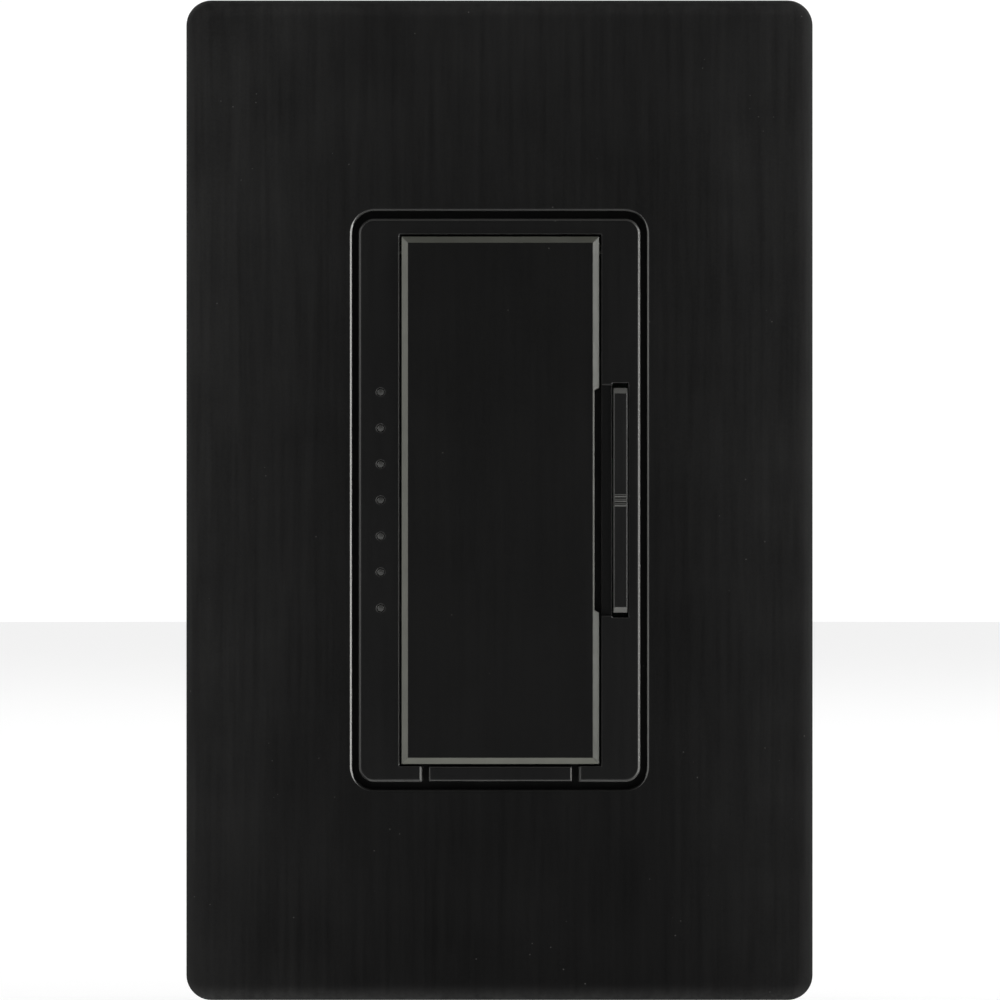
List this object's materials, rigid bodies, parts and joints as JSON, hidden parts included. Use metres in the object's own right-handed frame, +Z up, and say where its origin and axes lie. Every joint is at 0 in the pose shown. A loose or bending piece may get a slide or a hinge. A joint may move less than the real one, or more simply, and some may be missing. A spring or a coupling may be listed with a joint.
{
  "type": "wall dimmer switch",
  "caption": "Black wall dimmer in a screwless wallplate: large tap paddle, slim raise and lower rocker, status lights and a pull-out service tab.",
  "frame": {"origin": "middle of the device on the wall surface, in the plane of the wallplate's back rim", "axes": "+Z up along the tall side, +X to the right as seen by the user, +Y into the wall; the front faces -Y"},
  "size_m": [0.0746, 0.0396, 0.119],
  "materials": {
    "black_plate": "satin",
    "black_bezel": "satin",
    "black_paddle": "satin",
    "black_rocker": "satin",
    "adapter_plastic": "moulded",
    "housing_plastic": "moulded",
    "light_pipe_clear": "frosted",
    "yoke_aluminium": "brushed",
    "screw_zinc": "zinc plated",
    "screw_black": "black oxide",
    "screw_green": "green passivated",
    "brass": "plain",
    "spring_steel": "bright",
    "header_tin": "tinned",
    "board_green": "solder mask",
    "led_white": "clear",
    "switch_black": "moulded",
    "plunger_grey": "moulded",
    "pad_grey": "silicone",
    "ferrite": "coated",
    "copper_wire": "enamelled",
    "film_yellow": "plain",
    "can_sleeve": "sleeved",
    "varistor_blue": "dipped",
    "resistor_tan": "lacquered",
    "fuse_white": "plain"
  },
  "bodies": {
    "device": {"wallplate_adapter": "adapter_plastic", "adapter_screws": "screw_black", "yoke": "yoke_aluminium", "mounting_screws": "screw_zinc", "earth_screw": "screw_green", "bezel": "black_bezel", "paddle_springs": "spring_steel", "light_pipe": "light_pipe_clear", "control_board": "board_green", "status_leds": "led_white", "microcontroller": "switch_black", "tap_switch_case": "switch_black", "rocker_switch_cases": "switch_black", "header_strip": "switch_black", "header_pins": "header_tin", "board_standoffs": "plunger_grey", "power_board": "board_green", "triac": "switch_black", "triac_pad": "pad_grey", "triac_screw": "screw_zinc", "choke_core": "ferrite", "choke_winding": "copper_wire", "film_capacitor": "film_yellow", "can_capacitor": "can_sleeve", "varistor": "varistor_blue", "rectifier": "switch_black", "resistors": "resistor_tan", "thermal_fuse": "fuse_white", "leaf_post": "brass", "fixed_contact": "brass", "rear_housing": "housing_plastic", "housing_screws": "screw_zinc", "terminal_plates": "brass", "terminal_screws": "brass"},
    "cover": {"wallplate_cover": "black_plate"},
    "paddle": {"tap_paddle": "black_paddle"},
    "tap_plunger": {"tap_switch_plunger": "plunger_grey"},
    "rocker": {"dimming_rocker": "black_rocker"},
    "upper_plunger": {"upper_rocker_plunger": "plunger_grey"},
    "lower_plunger": {"lower_rocker_plunger": "plunger_grey"},
    "tab": {"service_tab": "black_bezel"},
    "leaf": {"air_gap_leaf": "brass"}
  },
  "joints": [
    {"name": "cover_lift", "type": "slide", "parent": "device", "child": "cover", "axis": [0, -1, 0], "range_m": [0, 0.012]},
    {"name": "paddle_press", "type": "hinge", "parent": "device", "child": "paddle", "pos_m": [0, -0.0056, 0.0299], "axis": [1, 0, 0], "range_deg": [0, 0.8], "stiffness_Nm_per_rad": 0.4, "deforming": ["paddle_springs"]},
    {"name": "tap_plunger_slide", "type": "slide", "parent": "device", "child": "tap_plunger", "axis": [0, 1, 0], "range_m": [0, 0.0006]},
    {"name": "rocker_tilt", "type": "hinge", "parent": "device", "child": "rocker", "pos_m": [0.01437, -0.005, 0], "axis": [1, 0, 0], "range_deg": [-2.5, 2.5], "stiffness_Nm_per_rad": 0.004},
    {"name": "upper_plunger_slide", "type": "slide", "parent": "device", "child": "upper_plunger", "axis": [0, 1, 0], "range_m": [-0.00036, 0.00036]},
    {"name": "lower_plunger_slide", "type": "slide", "parent": "device", "child": "lower_plunger", "axis": [0, 1, 0], "range_m": [-0.00036, 0.00036]},
    {"name": "tab_pull", "type": "slide", "parent": "device", "child": "tab", "axis": [0, -1, 0], "range_m": [0, 0.0038]},
    {"name": "leaf_swing", "type": "hinge", "parent": "device", "child": "leaf", "pos_m": [-0.0124, 0.0096, -0.02965], "axis": [0, 0, -1], "range_deg": [0, 18.6]}
  ],
  "couplings": [
    {"joint": "tap_plunger_slide", "follows": "paddle_press", "m_per_rad": 0.0405},
    {"joint": "upper_plunger_slide", "follows": "rocker_tilt", "m_per_rad": -0.008},
    {"joint": "lower_plunger_slide", "follows": "rocker_tilt", "m_per_rad": 0.008},
    {"joint": "leaf_swing", "follows": "tab_pull", "rad_per_m": 84.97}
  ]
}
